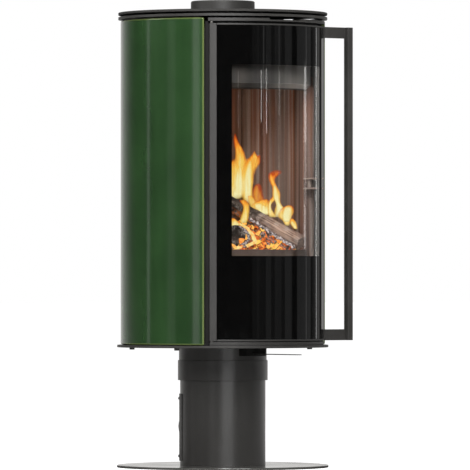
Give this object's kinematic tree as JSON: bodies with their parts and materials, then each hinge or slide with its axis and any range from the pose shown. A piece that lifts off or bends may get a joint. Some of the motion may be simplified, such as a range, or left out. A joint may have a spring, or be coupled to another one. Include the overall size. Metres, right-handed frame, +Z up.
{
  "type": "tiled stove",
  "caption": "Round wood stove on a swivel pedestal, with curved green glazed tiles, a curved glass door, a tall square handle and a pull-out air lever.",
  "frame": {"origin": "middle of the floor plate's underside, on the column's axis", "axes": "+Z up along the column; the door faces -Y and its handle is at +X"},
  "size_m": [0.521, 0.561, 1.14],
  "materials": {
    "anthracite_paint": "satin heat-resistant paint",
    "bare_steel": "plain steel",
    "green_glaze": "glossy ceramic glaze",
    "printed_glass": "polished",
    "vermiculite": "matt board",
    "cast_iron": "rough",
    "bearing_bronze": "machined",
    "rope": "braided glass fibre",
    "firewood": "charred",
    "embers": "glowing"
  },
  "bodies": {
    "pedestal": {"floor_plate": "anthracite_paint", "column_tube": "anthracite_paint", "column_rear_cover": "anthracite_paint", "bearing_hub": "bare_steel", "slide_ring": "bearing_bronze", "retaining_ring": "bare_steel", "air_duct": "bare_steel"},
    "stove": {"swivel_collar": "anthracite_paint", "neck_tube": "anthracite_paint", "turntable_ring": "bare_steel", "bottom_plate": "anthracite_paint", "left_tile": "green_glaze", "right_tile": "green_glaze", "rear_panel": "anthracite_paint", "vent_plate": "anthracite_paint", "top_plate": "anthracite_paint", "flue_collar": "anthracite_paint", "firebox_shell": "anthracite_paint", "firebox_top": "anthracite_paint", "front_frame": "anthracite_paint", "latch_roller": "bare_steel", "left_jamb": "anthracite_paint", "right_jamb": "anthracite_paint", "front_sill": "anthracite_paint", "front_header": "anthracite_paint", "hinge_pin_lower": "bare_steel", "hinge_pin_upper": "bare_steel", "ash_shelf": "anthracite_paint", "firebox_floor": "anthracite_paint", "brick_left": "vermiculite", "brick_right": "vermiculite", "brick_rear": "vermiculite", "brick_floor": "vermiculite", "grate": "cast_iron", "ash_pan": "bare_steel", "log_retainer": "cast_iron", "baffle_lower": "vermiculite", "baffle_upper": "anthracite_paint", "airwash_deflector": "bare_steel", "air_valve_body": "bare_steel", "air_box": "bare_steel", "air_riser": "bare_steel", "lever_guide": "anthracite_paint", "ember_bed": "embers", "log_lower": "firewood", "log_back": "firewood", "log_leaning": "firewood"},
    "door": {"door_frame": "anthracite_paint", "hinge_stile": "anthracite_paint", "latch_stile": "anthracite_paint", "door_glass": "printed_glass", "door_seal": "rope", "latch_tongue": "bare_steel", "handle_bar": "anthracite_paint", "handle_arm_lower": "anthracite_paint", "handle_arm_upper": "anthracite_paint"},
    "air_lever": {"air_lever": "anthracite_paint", "air_gate": "bare_steel"}
  },
  "joints": [
    {"name": "swivel", "type": "hinge", "parent": "pedestal", "child": "stove", "pos_m": [0, 0, 0.24], "axis": [0, 0, 1], "range_deg": [-90, 90]},
    {"name": "door_hinge", "type": "hinge", "parent": "stove", "child": "door", "pos_m": [-0.17081, -0.17564, 0.69], "axis": [0, 0, -1], "range_deg": [0, 110]},
    {"name": "air_lever_slide", "type": "slide", "parent": "stove", "child": "air_lever", "axis": [0, 1, 0], "range_m": [0, 0.06]}
  ]
}
